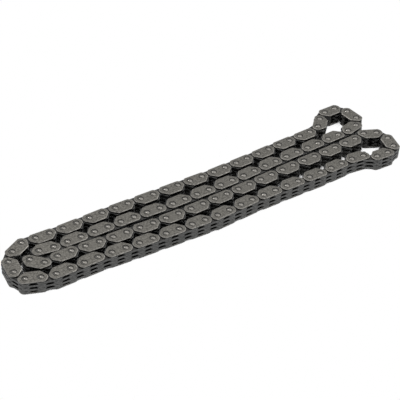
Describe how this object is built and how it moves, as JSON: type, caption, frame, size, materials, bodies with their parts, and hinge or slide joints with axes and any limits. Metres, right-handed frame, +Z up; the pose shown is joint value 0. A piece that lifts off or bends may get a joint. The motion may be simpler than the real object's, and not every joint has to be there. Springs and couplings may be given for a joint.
{
  "type": "timing chain",
  "caption": "Endless inverted-tooth timing chain of hinged guide links and tooth links on riveted pins, lying on its side and folded into nested strands.",
  "frame": {"origin": "middle of the folded chain's plan at the underside of the lower rivet heads", "axes": "+X along the strands towards the two open loops, +Y across the strands, +Z up along the pins"},
  "size_m": [0.1978, 0.0466, 0.0068],
  "materials": {
    "guide_plate_steel": "dull oiled steel, bright on the rivet heads",
    "tooth_plate_steel": "dull dark steel"
  },
  "bodies": {
    "inner_turn_guide_link": {"inner_turn_guide_link": "guide_plate_steel"},
    "inner_turn_upper_tooth_link_1": {"inner_turn_upper_tooth_link_1": "tooth_plate_steel"},
    "inner_turn_upper_guide_link_1": {"inner_turn_upper_guide_link_1": "guide_plate_steel"},
    "strand_2_section_1": {"strand_2_section_1": "guide_plate_steel"},
    "strand_2_section_2": {"strand_2_section_2": "guide_plate_steel"},
    "strand_2_section_3": {"strand_2_section_3": "guide_plate_steel"},
    "strand_2_section_4": {"strand_2_section_4": "guide_plate_steel"},
    "strand_2_section_5": {"strand_2_section_5": "guide_plate_steel"},
    "strand_2_section_6": {"strand_2_section_6": "guide_plate_steel"},
    "strand_2_section_7": {"strand_2_section_7": "guide_plate_steel"},
    "strand_2_section_8": {"strand_2_section_8": "guide_plate_steel"},
    "upper_loop_tooth_link_1": {"upper_loop_tooth_link_1": "tooth_plate_steel"},
    "upper_loop_guide_link_1": {"upper_loop_guide_link_1": "guide_plate_steel"},
    "upper_loop_tooth_link_2": {"upper_loop_tooth_link_2": "tooth_plate_steel"},
    "upper_loop_guide_link_2": {"upper_loop_guide_link_2": "guide_plate_steel"},
    "upper_loop_tooth_link_3": {"upper_loop_tooth_link_3": "tooth_plate_steel"},
    "upper_loop_guide_link_3": {"upper_loop_guide_link_3": "guide_plate_steel"},
    "upper_loop_tooth_link_4": {"upper_loop_tooth_link_4": "tooth_plate_steel"},
    "upper_loop_guide_link_4": {"upper_loop_guide_link_4": "guide_plate_steel"},
    "upper_loop_tooth_link_5": {"upper_loop_tooth_link_5": "tooth_plate_steel"},
    "strand_1_section_1": {"strand_1_section_1": "guide_plate_steel"},
    "strand_1_section_2": {"strand_1_section_2": "guide_plate_steel"},
    "strand_1_section_3": {"strand_1_section_3": "guide_plate_steel"},
    "strand_1_section_4": {"strand_1_section_4": "guide_plate_steel"},
    "strand_1_section_5": {"strand_1_section_5": "guide_plate_steel"},
    "strand_1_section_6": {"strand_1_section_6": "guide_plate_steel"},
    "strand_1_section_7": {"strand_1_section_7": "guide_plate_steel"},
    "strand_1_section_8": {"strand_1_section_8": "guide_plate_steel"},
    "outer_turn_upper_guide_link_1": {"outer_turn_upper_guide_link_1": "guide_plate_steel"},
    "outer_turn_upper_tooth_link_1": {"outer_turn_upper_tooth_link_1": "tooth_plate_steel"},
    "inner_turn_lower_tooth_link_1": {"inner_turn_lower_tooth_link_1": "tooth_plate_steel"},
    "inner_turn_lower_guide_link_1": {"inner_turn_lower_guide_link_1": "guide_plate_steel"},
    "strand_3_section_1": {"strand_3_section_1": "guide_plate_steel"},
    "strand_3_section_2": {"strand_3_section_2": "guide_plate_steel"},
    "strand_3_section_3": {"strand_3_section_3": "guide_plate_steel"},
    "strand_3_section_4": {"strand_3_section_4": "guide_plate_steel"},
    "strand_3_section_5": {"strand_3_section_5": "guide_plate_steel"},
    "strand_3_section_6": {"strand_3_section_6": "guide_plate_steel"},
    "strand_3_section_7": {"strand_3_section_7": "guide_plate_steel"},
    "strand_3_section_8": {"strand_3_section_8": "guide_plate_steel"},
    "lower_loop_tooth_link_1": {"lower_loop_tooth_link_1": "tooth_plate_steel"},
    "lower_loop_guide_link_1": {"lower_loop_guide_link_1": "guide_plate_steel"},
    "lower_loop_tooth_link_2": {"lower_loop_tooth_link_2": "tooth_plate_steel"},
    "lower_loop_guide_link_2": {"lower_loop_guide_link_2": "guide_plate_steel"},
    "lower_loop_tooth_link_3": {"lower_loop_tooth_link_3": "tooth_plate_steel"},
    "lower_loop_guide_link_3": {"lower_loop_guide_link_3": "guide_plate_steel"},
    "lower_loop_tooth_link_4": {"lower_loop_tooth_link_4": "tooth_plate_steel"},
    "lower_loop_guide_link_4": {"lower_loop_guide_link_4": "guide_plate_steel"},
    "strand_4_section_1": {"strand_4_section_1": "guide_plate_steel"},
    "strand_4_section_2": {"strand_4_section_2": "guide_plate_steel"},
    "strand_4_section_3": {"strand_4_section_3": "guide_plate_steel"},
    "strand_4_section_4": {"strand_4_section_4": "guide_plate_steel"},
    "strand_4_section_5": {"strand_4_section_5": "guide_plate_steel"},
    "strand_4_section_6": {"strand_4_section_6": "guide_plate_steel"},
    "strand_4_section_7": {"strand_4_section_7": "guide_plate_steel"},
    "strand_4_section_8": {"strand_4_section_8": "guide_plate_steel"},
    "outer_turn_lower_tooth_link_1": {"outer_turn_lower_tooth_link_1": "tooth_plate_steel"},
    "outer_turn_lower_guide_link_1": {"outer_turn_lower_guide_link_1": "guide_plate_steel"},
    "outer_turn_lower_tooth_link_2": {"outer_turn_lower_tooth_link_2": "tooth_plate_steel"},
    "outer_turn_lower_guide_link_2": {"outer_turn_lower_guide_link_2": "guide_plate_steel"}
  },
  "joints": [
    {"name": "hinge_inner_turn_upper_tooth_link_1", "type": "hinge", "parent": "inner_turn_guide_link", "child": "inner_turn_upper_tooth_link_1", "pos_m": [-0.08733, -0.00384, 0.0034], "axis": [0, 0, 1], "range_deg": [0, 109.68]},
    {"name": "hinge_inner_turn_upper_guide_link_1", "type": "hinge", "parent": "inner_turn_upper_tooth_link_1", "child": "inner_turn_upper_guide_link_1", "pos_m": [-0.08173, -0.00085, 0.0034], "axis": [0, 0, 1], "range_deg": [0, 38.82]},
    {"name": "hinge_strand_2_section_1", "type": "hinge", "parent": "inner_turn_upper_guide_link_1", "child": "strand_2_section_1", "pos_m": [-0.07544, -0.00174, 0.0034], "axis": [0, 0, 1], "range_deg": [-2.19, 0]},
    {"name": "hinge_strand_2_section_2", "type": "hinge", "parent": "strand_2_section_1", "child": "strand_2_section_2", "pos_m": [-0.05639, -0.00174, 0.0034], "axis": [0, 0, 1], "range_deg": [0, 8.7]},
    {"name": "hinge_strand_2_section_3", "type": "hinge", "parent": "strand_2_section_2", "child": "strand_2_section_3", "pos_m": [-0.03734, -0.00174, 0.0034], "axis": [0, 0, 1], "range_deg": [0, 10.69]},
    {"name": "hinge_strand_2_section_4", "type": "hinge", "parent": "strand_2_section_3", "child": "strand_2_section_4", "pos_m": [-0.0183, -0.0024, 0.0034], "axis": [0, 0, 1], "range_deg": [0, 5.7]},
    {"name": "hinge_strand_2_section_5", "type": "hinge", "parent": "strand_2_section_4", "child": "strand_2_section_5", "pos_m": [0.00075, -0.00207, 0.0034], "axis": [0, 0, 1], "range_deg": [0, 7.7]},
    {"name": "unfold", "type": "hinge", "parent": "strand_2_section_5", "child": "strand_2_section_6", "pos_m": [0.01979, -0.00141, 0.0034], "axis": [0, 0, 1], "range_deg": [0, 5.7]},
    {"name": "hinge_strand_2_section_7", "type": "hinge", "parent": "strand_2_section_6", "child": "strand_2_section_7", "pos_m": [0.03877, 0.00025, 0.0034], "axis": [0, 0, 1], "range_deg": [0, 10.69]},
    {"name": "hinge_strand_2_section_8", "type": "hinge", "parent": "strand_2_section_7", "child": "strand_2_section_8", "pos_m": [0.05779, 0.00125, 0.0034], "axis": [0, 0, 1], "range_deg": [0, 8.7]},
    {"name": "hinge_upper_loop_tooth_link_1", "type": "hinge", "parent": "strand_2_section_8", "child": "upper_loop_tooth_link_1", "pos_m": [0.07681, 0.00225, 0.0034], "axis": [0, 0, 1], "range_deg": [0, 4.8]},
    {"name": "hinge_upper_loop_guide_link_1", "type": "hinge", "parent": "upper_loop_tooth_link_1", "child": "upper_loop_guide_link_1", "pos_m": [0.08315, 0.00269, 0.0034], "axis": [0, 0, 1], "range_deg": [-7.08, 0]},
    {"name": "hinge_upper_loop_tooth_link_2", "type": "hinge", "parent": "upper_loop_guide_link_1", "child": "upper_loop_tooth_link_2", "pos_m": [0.08931, 0.00423, 0.0034], "axis": [0, 0, 1], "range_deg": [-34.03, 0]},
    {"name": "hinge_upper_loop_guide_link_2", "type": "hinge", "parent": "upper_loop_tooth_link_2", "child": "upper_loop_guide_link_2", "pos_m": [0.0933, 0.00916, 0.0034], "axis": [0, 0, 1], "range_deg": [-42.02, 0]},
    {"name": "hinge_upper_loop_tooth_link_3", "type": "hinge", "parent": "upper_loop_guide_link_2", "child": "upper_loop_tooth_link_3", "pos_m": [0.09264, 0.01548, 0.0034], "axis": [0, 0, 1], "range_deg": [-29.04, 0]},
    {"name": "hinge_upper_loop_guide_link_3", "type": "hinge", "parent": "upper_loop_tooth_link_3", "child": "upper_loop_guide_link_3", "pos_m": [0.08873, 0.02048, 0.0034], "axis": [0, 0, 1], "range_deg": [-51, 0]},
    {"name": "hinge_upper_loop_tooth_link_4", "type": "hinge", "parent": "upper_loop_guide_link_3", "child": "upper_loop_tooth_link_4", "pos_m": [0.08239, 0.02026, 0.0034], "axis": [0, 0, 1], "range_deg": [-26.05, 0]},
    {"name": "hinge_upper_loop_guide_link_4", "type": "hinge", "parent": "upper_loop_tooth_link_4", "child": "upper_loop_guide_link_4", "pos_m": [0.07694, 0.01699, 0.0034], "axis": [0, 0, 1], "range_deg": [-11.08, 0]},
    {"name": "hinge_upper_loop_tooth_link_5", "type": "hinge", "parent": "upper_loop_guide_link_4", "child": "upper_loop_tooth_link_5", "pos_m": [0.07245, 0.0125, 0.0034], "axis": [0, 0, 1], "range_deg": [0, 31.84]},
    {"name": "hinge_strand_1_section_1", "type": "hinge", "parent": "upper_loop_tooth_link_5", "child": "strand_1_section_1", "pos_m": [0.06635, 0.01075, 0.0034], "axis": [0, 0, 1], "range_deg": [0, 18.77]},
    {"name": "hinge_strand_1_section_2", "type": "hinge", "parent": "strand_1_section_1", "child": "strand_1_section_2", "pos_m": [0.04732, 0.00975, 0.0034], "axis": [0, 0, 1], "range_deg": [0, 7.7]},
    {"name": "hinge_strand_1_section_3", "type": "hinge", "parent": "strand_1_section_2", "child": "strand_1_section_3", "pos_m": [0.02832, 0.00842, 0.0034], "axis": [0, 0, 1], "range_deg": [0, 9.69]},
    {"name": "hinge_strand_1_section_4", "type": "hinge", "parent": "strand_1_section_3", "child": "strand_1_section_4", "pos_m": [0.0093, 0.00743, 0.0034], "axis": [0, 0, 1], "range_deg": [0, 11.69]},
    {"name": "hinge_strand_1_section_5", "type": "hinge", "parent": "strand_1_section_4", "child": "strand_1_section_5", "pos_m": [-0.00975, 0.00743, 0.0034], "axis": [0, 0, 1], "range_deg": [0, 8.7]},
    {"name": "hinge_strand_1_section_6", "type": "hinge", "parent": "strand_1_section_5", "child": "strand_1_section_6", "pos_m": [-0.0288, 0.00743, 0.0034], "axis": [0, 0, 1], "range_deg": [0, 8.7]},
    {"name": "hinge_strand_1_section_7", "type": "hinge", "parent": "strand_1_section_6", "child": "strand_1_section_7", "pos_m": [-0.04785, 0.00743, 0.0034], "axis": [0, 0, 1], "range_deg": [0, 6.7]},
    {"name": "hinge_strand_1_section_8", "type": "hinge", "parent": "strand_1_section_7", "child": "strand_1_section_8", "pos_m": [-0.06689, 0.00676, 0.0034], "axis": [0, 0, 1], "range_deg": [0, 11.69]},
    {"name": "hinge_outer_turn_upper_guide_link_1", "type": "hinge", "parent": "strand_1_section_8", "child": "outer_turn_upper_guide_link_1", "pos_m": [-0.08594, 0.00709, 0.0034], "axis": [0, 0, 1], "range_deg": [-24.15, 0]},
    {"name": "hinge_outer_turn_upper_tooth_link_1", "type": "hinge", "parent": "outer_turn_upper_guide_link_1", "child": "outer_turn_upper_tooth_link_1", "pos_m": [-0.09149, 0.00401, 0.0034], "axis": [0, 0, 1], "range_deg": [-19.5, 0]},
    {"name": "hinge_inner_turn_lower_tooth_link_1", "type": "hinge", "parent": "inner_turn_guide_link", "child": "inner_turn_lower_tooth_link_1", "pos_m": [-0.08284, -0.00833, 0.0034], "axis": [0, 0, 1], "range_deg": [-54.79, 0]},
    {"name": "hinge_inner_turn_lower_guide_link_1", "type": "hinge", "parent": "inner_turn_lower_tooth_link_1", "child": "inner_turn_lower_guide_link_1", "pos_m": [-0.07654, -0.00755, 0.0034], "axis": [0, 0, 1], "range_deg": [0, 4.09]},
    {"name": "hinge_strand_3_section_1", "type": "hinge", "parent": "inner_turn_lower_guide_link_1", "child": "strand_3_section_1", "pos_m": [-0.07019, -0.00755, 0.0034], "axis": [0, 0, 1], "range_deg": [-2.8, 0]},
    {"name": "hinge_strand_3_section_2", "type": "hinge", "parent": "strand_3_section_1", "child": "strand_3_section_2", "pos_m": [-0.05117, -0.00855, 0.0034], "axis": [0, 0, 1], "range_deg": [-9.69, 0]},
    {"name": "hinge_strand_3_section_3", "type": "hinge", "parent": "strand_3_section_2", "child": "strand_3_section_3", "pos_m": [-0.03213, -0.00921, 0.0034], "axis": [0, 0, 1], "range_deg": [-10.69, 0]},
    {"name": "hinge_strand_3_section_4", "type": "hinge", "parent": "strand_3_section_3", "child": "strand_3_section_4", "pos_m": [-0.01308, -0.00921, 0.0034], "axis": [0, 0, 1], "range_deg": [-10.69, 0]},
    {"name": "hinge_strand_3_section_5", "type": "hinge", "parent": "strand_3_section_4", "child": "strand_3_section_5", "pos_m": [0.00596, -0.00855, 0.0034], "axis": [0, 0, 1], "range_deg": [-9.69, 0]},
    {"name": "hinge_strand_3_section_6", "type": "hinge", "parent": "strand_3_section_5", "child": "strand_3_section_6", "pos_m": [0.02499, -0.00755, 0.0034], "axis": [0, 0, 1], "range_deg": [-9.69, 0]},
    {"name": "hinge_strand_3_section_7", "type": "hinge", "parent": "strand_3_section_6", "child": "strand_3_section_7", "pos_m": [0.04399, -0.00622, 0.0034], "axis": [0, 0, 1], "range_deg": [-6.7, 0]},
    {"name": "hinge_strand_3_section_8", "type": "hinge", "parent": "strand_3_section_7", "child": "strand_3_section_8", "pos_m": [0.06303, -0.00556, 0.0034], "axis": [0, 0, 1], "range_deg": [-10.69, 0]},
    {"name": "hinge_lower_loop_tooth_link_1", "type": "hinge", "parent": "strand_3_section_8", "child": "lower_loop_tooth_link_1", "pos_m": [0.08203, -0.00423, 0.0034], "axis": [0, 0, 1], "range_deg": [-13.78, 0]},
    {"name": "hinge_lower_loop_guide_link_1", "type": "hinge", "parent": "lower_loop_tooth_link_1", "child": "lower_loop_guide_link_1", "pos_m": [0.08824, -0.00291, 0.0034], "axis": [0, 0, 1], "range_deg": [0, 33.03]},
    {"name": "hinge_lower_loop_tooth_link_2", "type": "hinge", "parent": "lower_loop_guide_link_1", "child": "lower_loop_tooth_link_2", "pos_m": [0.09404, -0.00549, 0.0034], "axis": [0, 0, 1], "range_deg": [0, 45.01]},
    {"name": "hinge_lower_loop_guide_link_2", "type": "hinge", "parent": "lower_loop_tooth_link_2", "child": "lower_loop_guide_link_2", "pos_m": [0.09601, -0.01153, 0.0034], "axis": [0, 0, 1], "range_deg": [0, 29.04]},
    {"name": "hinge_lower_loop_tooth_link_3", "type": "hinge", "parent": "lower_loop_guide_link_2", "child": "lower_loop_tooth_link_3", "pos_m": [0.09447, -0.01769, 0.0034], "axis": [0, 0, 1], "range_deg": [0, 48]},
    {"name": "hinge_lower_loop_guide_link_3", "type": "hinge", "parent": "lower_loop_tooth_link_3", "child": "lower_loop_guide_link_3", "pos_m": [0.08872, -0.02038, 0.0034], "axis": [0, 0, 1], "range_deg": [0, 24.05]},
    {"name": "hinge_lower_loop_tooth_link_4", "type": "hinge", "parent": "lower_loop_guide_link_3", "child": "lower_loop_tooth_link_4", "pos_m": [0.08237, -0.02015, 0.0034], "axis": [0, 0, 1], "range_deg": [0, 28.04]},
    {"name": "hinge_lower_loop_guide_link_4", "type": "hinge", "parent": "lower_loop_tooth_link_4", "child": "lower_loop_guide_link_4", "pos_m": [0.07704, -0.0167, 0.0034], "axis": [0, 0, 1], "range_deg": [-29.84, 0]},
    {"name": "hinge_strand_4_section_1", "type": "hinge", "parent": "lower_loop_guide_link_4", "child": "strand_4_section_1", "pos_m": [0.07073, -0.01603, 0.0034], "axis": [0, 0, 1], "range_deg": [-14.78, 0]},
    {"name": "hinge_strand_4_section_2", "type": "hinge", "parent": "strand_4_section_1", "child": "strand_4_section_2", "pos_m": [0.0517, -0.01703, 0.0034], "axis": [0, 0, 1], "range_deg": [-5.7, 0]},
    {"name": "hinge_strand_4_section_3", "type": "hinge", "parent": "strand_4_section_2", "child": "strand_4_section_3", "pos_m": [0.03265, -0.01703, 0.0034], "axis": [0, 0, 1], "range_deg": [-9.69, 0]},
    {"name": "hinge_strand_4_section_4", "type": "hinge", "parent": "strand_4_section_3", "child": "strand_4_section_4", "pos_m": [0.01361, -0.01736, 0.0034], "axis": [0, 0, 1], "range_deg": [-11.69, 0]},
    {"name": "hinge_strand_4_section_5", "type": "hinge", "parent": "strand_4_section_4", "child": "strand_4_section_5", "pos_m": [-0.0054, -0.01869, 0.0034], "axis": [0, 0, 1], "range_deg": [-2.71, 0]},
    {"name": "hinge_strand_4_section_6", "type": "hinge", "parent": "strand_4_section_5", "child": "strand_4_section_6", "pos_m": [-0.02443, -0.01803, 0.0034], "axis": [0, 0, 1], "range_deg": [-8.7, 0]},
    {"name": "hinge_strand_4_section_7", "type": "hinge", "parent": "strand_4_section_6", "child": "strand_4_section_7", "pos_m": [-0.04347, -0.01736, 0.0034], "axis": [0, 0, 1], "range_deg": [-7.7, 0]},
    {"name": "hinge_strand_4_section_8", "type": "hinge", "parent": "strand_4_section_7", "child": "strand_4_section_8", "pos_m": [-0.0625, -0.01637, 0.0034], "axis": [0, 0, 1], "range_deg": [-12.69, 0]},
    {"name": "hinge_outer_turn_lower_tooth_link_1", "type": "hinge", "parent": "strand_4_section_8", "child": "outer_turn_lower_tooth_link_1", "pos_m": [-0.08154, -0.0167, 0.0034], "axis": [0, 0, 1], "range_deg": [0, 7.18]},
    {"name": "hinge_outer_turn_lower_guide_link_1", "type": "hinge", "parent": "outer_turn_lower_tooth_link_1", "child": "outer_turn_lower_guide_link_1", "pos_m": [-0.08776, -0.01538, 0.0034], "axis": [0, 0, 1], "range_deg": [0, 5.09]},
    {"name": "hinge_outer_turn_lower_tooth_link_2", "type": "hinge", "parent": "outer_turn_lower_guide_link_1", "child": "outer_turn_lower_tooth_link_2", "pos_m": [-0.09372, -0.0132, 0.0034], "axis": [0, 0, 1], "range_deg": [0, 46.01]},
    {"name": "hinge_outer_turn_lower_guide_link_2", "type": "hinge", "parent": "outer_turn_lower_tooth_link_2", "child": "outer_turn_lower_guide_link_2", "pos_m": [-0.096, -0.00728, 0.0034], "axis": [0, 0, 1], "range_deg": [0, 23]}
  ],
  "couplings": [
    {"joint": "hinge_inner_turn_upper_tooth_link_1", "follows": "unfold", "ratio": 19.243},
    {"joint": "hinge_inner_turn_upper_guide_link_1", "follows": "unfold", "ratio": 6.8112},
    {"joint": "hinge_strand_2_section_1", "follows": "unfold", "ratio": -0.38409},
    {"joint": "hinge_strand_2_section_2", "follows": "unfold", "ratio": 1.5253},
    {"joint": "hinge_strand_2_section_3", "follows": "unfold", "ratio": 1.8754},
    {"joint": "hinge_strand_2_section_4", "follows": "unfold", "ratio": 1},
    {"joint": "hinge_strand_2_section_5", "follows": "unfold", "ratio": 1.3502},
    {"joint": "hinge_strand_2_section_7", "follows": "unfold", "ratio": 1.8754},
    {"joint": "hinge_strand_2_section_8", "follows": "unfold", "ratio": 1.5253},
    {"joint": "hinge_upper_loop_tooth_link_1", "follows": "unfold", "ratio": 0.84154},
    {"joint": "hinge_upper_loop_guide_link_1", "follows": "unfold", "ratio": -1.2429},
    {"joint": "hinge_upper_loop_tooth_link_2", "follows": "unfold", "ratio": -5.9703},
    {"joint": "hinge_upper_loop_guide_link_2", "follows": "unfold", "ratio": -7.371},
    {"joint": "hinge_upper_loop_tooth_link_3", "follows": "unfold", "ratio": -5.0949},
    {"joint": "hinge_upper_loop_guide_link_3", "follows": "unfold", "ratio": -8.9469},
    {"joint": "hinge_upper_loop_tooth_link_4", "follows": "unfold", "ratio": -4.5696},
    {"joint": "hinge_upper_loop_guide_link_4", "follows": "unfold", "ratio": -1.9433},
    {"joint": "hinge_upper_loop_tooth_link_5", "follows": "unfold", "ratio": 5.5856},
    {"joint": "hinge_strand_1_section_1", "follows": "unfold", "ratio": 3.2928},
    {"joint": "hinge_strand_1_section_2", "follows": "unfold", "ratio": 1.3502},
    {"joint": "hinge_strand_1_section_3", "follows": "unfold", "ratio": 1.7004},
    {"joint": "hinge_strand_1_section_4", "follows": "unfold", "ratio": 2.0505},
    {"joint": "hinge_strand_1_section_5", "follows": "unfold", "ratio": 1.5253},
    {"joint": "hinge_strand_1_section_6", "follows": "unfold", "ratio": 1.5253},
    {"joint": "hinge_strand_1_section_7", "follows": "unfold", "ratio": 1.1751},
    {"joint": "hinge_strand_1_section_8", "follows": "unfold", "ratio": 2.0505},
    {"joint": "hinge_outer_turn_upper_guide_link_1", "follows": "unfold", "ratio": -4.2361},
    {"joint": "hinge_outer_turn_upper_tooth_link_1", "follows": "unfold", "ratio": -3.4202},
    {"joint": "hinge_inner_turn_lower_tooth_link_1", "follows": "unfold", "ratio": -9.6126},
    {"joint": "hinge_inner_turn_lower_guide_link_1", "follows": "unfold", "ratio": 0.71764},
    {"joint": "hinge_strand_3_section_1", "follows": "unfold", "ratio": -0.49136},
    {"joint": "hinge_strand_3_section_2", "follows": "unfold", "ratio": -1.7004},
    {"joint": "hinge_strand_3_section_3", "follows": "unfold", "ratio": -1.8754},
    {"joint": "hinge_strand_3_section_4", "follows": "unfold", "ratio": -1.8754},
    {"joint": "hinge_strand_3_section_5", "follows": "unfold", "ratio": -1.7004},
    {"joint": "hinge_strand_3_section_6", "follows": "unfold", "ratio": -1.7004},
    {"joint": "hinge_strand_3_section_7", "follows": "unfold", "ratio": -1.1751},
    {"joint": "hinge_strand_3_section_8", "follows": "unfold", "ratio": -1.8754},
    {"joint": "hinge_lower_loop_tooth_link_1", "follows": "unfold", "ratio": -2.4173},
    {"joint": "hinge_lower_loop_guide_link_1", "follows": "unfold", "ratio": 5.7952},
    {"joint": "hinge_lower_loop_tooth_link_2", "follows": "unfold", "ratio": 7.8963},
    {"joint": "hinge_lower_loop_guide_link_2", "follows": "unfold", "ratio": 5.0949},
    {"joint": "hinge_lower_loop_tooth_link_3", "follows": "unfold", "ratio": 8.4216},
    {"joint": "hinge_lower_loop_guide_link_3", "follows": "unfold", "ratio": 4.2194},
    {"joint": "hinge_lower_loop_tooth_link_4", "follows": "unfold", "ratio": 4.9198},
    {"joint": "hinge_lower_loop_guide_link_4", "follows": "unfold", "ratio": -5.2354},
    {"joint": "hinge_strand_4_section_1", "follows": "unfold", "ratio": -2.5924},
    {"joint": "hinge_strand_4_section_2", "follows": "unfold", "ratio": -1},
    {"joint": "hinge_strand_4_section_3", "follows": "unfold", "ratio": -1.7004},
    {"joint": "hinge_strand_4_section_4", "follows": "unfold", "ratio": -2.0505},
    {"joint": "hinge_strand_4_section_5", "follows": "unfold", "ratio": -0.47473},
    {"joint": "hinge_strand_4_section_6", "follows": "unfold", "ratio": -1.5253},
    {"joint": "hinge_strand_4_section_7", "follows": "unfold", "ratio": -1.3502},
    {"joint": "hinge_strand_4_section_8", "follows": "unfold", "ratio": -2.2256},
    {"joint": "hinge_outer_turn_lower_tooth_link_1", "follows": "unfold", "ratio": 1.2595},
    {"joint": "hinge_outer_turn_lower_guide_link_1", "follows": "unfold", "ratio": 0.89273},
    {"joint": "hinge_outer_turn_lower_tooth_link_2", "follows": "unfold", "ratio": 8.0714},
    {"joint": "hinge_outer_turn_lower_guide_link_2", "follows": "unfold", "ratio": 4.0347}
  ]
}
